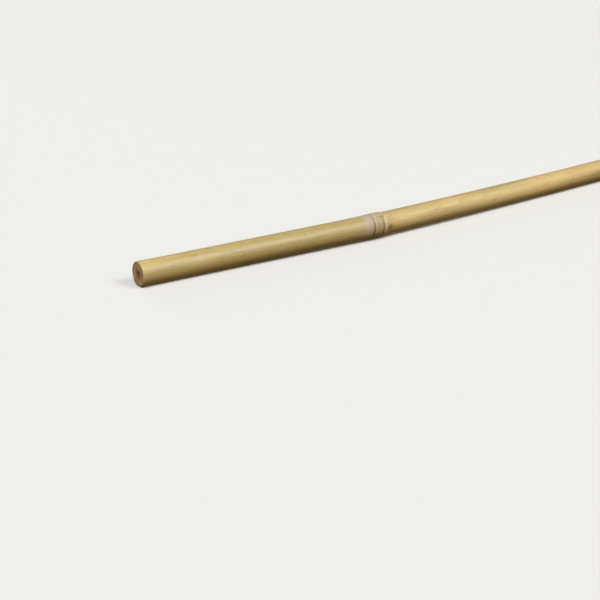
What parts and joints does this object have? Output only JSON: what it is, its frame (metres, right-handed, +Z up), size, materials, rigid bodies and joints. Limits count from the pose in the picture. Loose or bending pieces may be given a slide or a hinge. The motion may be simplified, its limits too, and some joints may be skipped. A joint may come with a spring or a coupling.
{
  "type": "bamboo tree stake",
  "caption": "Dried bamboo cane, nearly straight, sawn across at both ends, with low ringed nodes and trimmed branch stubs; a stake that holds up a young tree or plant.",
  "frame": {"origin": "on the ground, under the centre of the cane's box", "axes": "+X along the cane from its thick sawn butt towards its tip, +Z up, +Y across it, towards the hollow side of its slight bow"},
  "size_m": [0.9008, 0.0428, 0.0134],
  "materials": {
    "bamboo": "satin"
  },
  "bodies": {
    "root": {"cane": "bamboo"}
  },
  "joints": []
}
